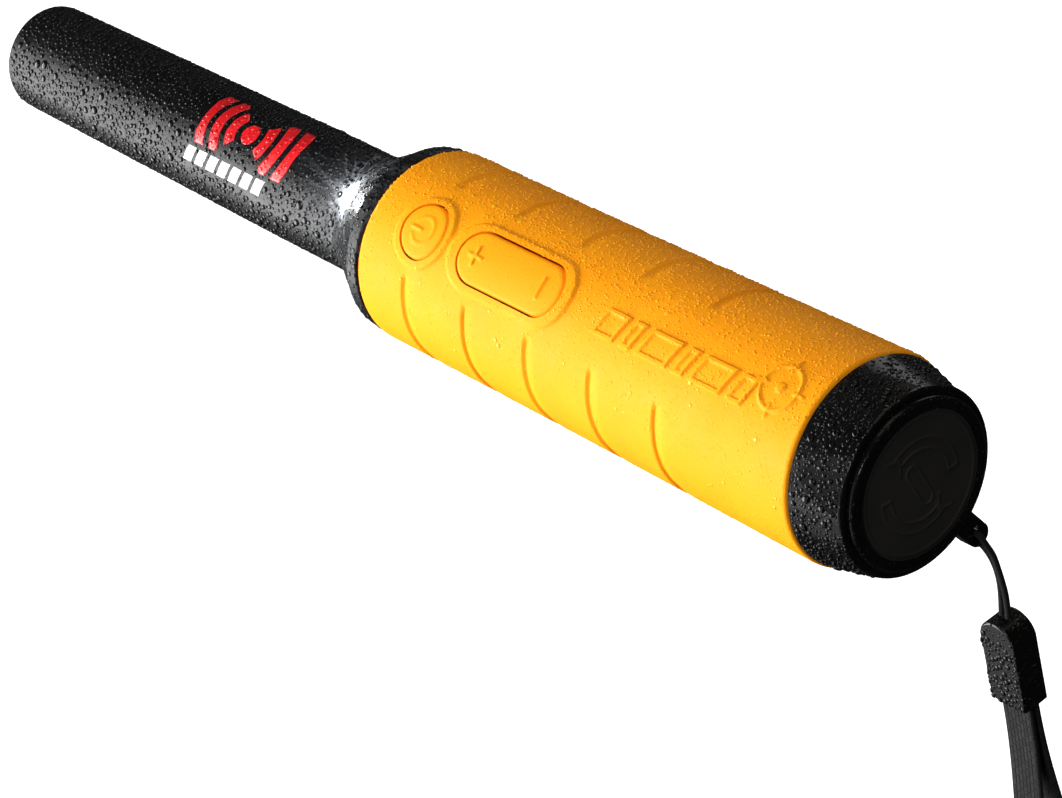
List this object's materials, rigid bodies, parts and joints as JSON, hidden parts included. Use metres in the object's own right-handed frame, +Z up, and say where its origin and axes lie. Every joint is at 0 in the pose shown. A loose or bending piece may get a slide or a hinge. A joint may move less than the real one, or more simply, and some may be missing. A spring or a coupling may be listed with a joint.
{
  "type": "pinpointer probe",
  "caption": "Handheld waterproof pinpointer metal detector with a slim black probe, soft yellow grip with rubber keys, torch, screw battery cap and wrist lanyard.",
  "frame": {"origin": "on the long axis at the middle of the yellow grip, where a hand holds it", "axes": "+X along the axis from the sensing tip towards the battery cap, +Z up as the lanyard hangs; the keys face 35 degrees from +Z towards -Y"},
  "size_m": [0.2549, 0.0538, 0.2168],
  "materials": {
    "shell_plastic": "glossy black moulding, wet",
    "core_plastic": "black structural plastic",
    "grip_rubber": "yellow soft overmould, satin",
    "key_rubber": "yellow soft keys, satin",
    "seal_rubber": "black rubber",
    "cap_plastic": "black moulding with a fine texture",
    "disc_plastic": "dark grey spark-eroded texture",
    "clamp_plastic": "black moulding",
    "cord_braid": "thin black braided cord",
    "strap_webbing": "black woven webbing",
    "post_plastic": "natural plastic",
    "switch_plastic": "black plastic",
    "board_laminate": "green glass laminate",
    "screw_steel": "zinc plated steel",
    "chip_plastic": "black epoxy",
    "capacitor_can": "aluminium can",
    "sled_plastic": "grey plastic",
    "motor_steel": "steel can",
    "weight_brass": "sintered heavy alloy",
    "sounder_plastic": "black plastic",
    "battery_case": "plain printed steel jacket",
    "snap_nickel": "nickel plated",
    "lens_clear": "clear lens",
    "led_epoxy": "clear epoxy LED",
    "ferrite": "grey ferrite",
    "former_plastic": "natural nylon",
    "copper_wire": "enamelled copper",
    "shield_foil": "copper foil",
    "foam": "closed cell foam",
    "lead_sheath": "insulated wire"
  },
  "bodies": {
    "handle": {"probe_tube": "shell_plastic", "nose_seal_ring": "seal_rubber", "handle_core": "core_plastic", "grip_sleeve": "grip_rubber", "key_switches": "switch_plastic", "main_board": "board_laminate", "board_screws": "screw_steel", "microcontroller": "chip_plastic", "amplifier_chips": "chip_plastic", "capacitors": "capacitor_can", "board_sled": "sled_plastic", "vibration_motor": "motor_steel", "piezo_sounder": "sounder_plastic", "battery_block": "battery_case", "battery_snaps": "snap_nickel", "snap_contacts": "snap_nickel", "contact_plate": "board_laminate", "torch_lens": "lens_clear", "torch_led": "led_epoxy", "ferrite_rod": "ferrite", "coil_former": "former_plastic", "transmit_winding": "copper_wire", "receive_winding": "copper_wire", "probe_shield": "shield_foil", "tip_cushion": "foam", "battery_leads": "lead_sheath", "coil_leads": "lead_sheath"},
    "power_button": {"power_key": "key_rubber", "power_post": "post_plastic"},
    "rocker": {"sensitivity_rocker": "key_rubber", "rocker_posts": "post_plastic"},
    "eccentric_weight": {"motor_weight": "weight_brass"},
    "cap_seal": {"cap_seal_ring": "seal_rubber"},
    "cap": {"battery_cap": "cap_plastic", "cap_end_disc": "disc_plastic", "battery_cushion": "foam"},
    "lanyard_loop": {"lanyard_cord": "cord_braid"},
    "strap": {"lanyard_clamp": "clamp_plastic", "wrist_strap": "strap_webbing"}
  },
  "joints": [
    {"name": "power_press", "type": "slide", "parent": "handle", "child": "power_button", "axis": [0, 0.5736, -0.8192], "range_m": [0, 0.0006], "stiffness_N_per_m": 3000, "springref_m": -0.0001},
    {"name": "rocker_tilt", "type": "hinge", "parent": "handle", "child": "rocker", "pos_m": [-0.0182, -0.00972, 0.01388], "axis": [0, 0.8192, 0.5736], "range_deg": [-2, 2], "stiffness_Nm_per_rad": 0.4},
    {"name": "motor_spin", "type": "hinge", "parent": "handle", "child": "eccentric_weight", "pos_m": [-0.033, 0.00036, -0.00051], "axis": [1, 0, 0], "continuous": true},
    {"name": "cap_advance", "type": "slide", "parent": "handle", "child": "cap_seal", "axis": [1, 0, 0], "range_m": [0, 0.0072]},
    {"name": "cap_turn", "type": "hinge", "parent": "cap_seal", "child": "cap", "pos_m": [0.0572, 0, 0], "axis": [1, 0, 0], "range_deg": [0, 1080]},
    {"name": "lanyard_swing", "type": "hinge", "parent": "cap", "child": "lanyard_loop", "pos_m": [0.0666, 0.0103, -0.01714], "axis": [1, 0, 0], "range_deg": [-50, 30]},
    {"name": "strap_swing", "type": "hinge", "parent": "lanyard_loop", "child": "strap", "pos_m": [0.0666, 0.014, -0.04192], "axis": [0, 1, 0], "range_deg": [-35, 35]}
  ],
  "couplings": [
    {"joint": "cap_advance", "follows": "cap_turn", "m_per_rad": 0.00038197}
  ]
}
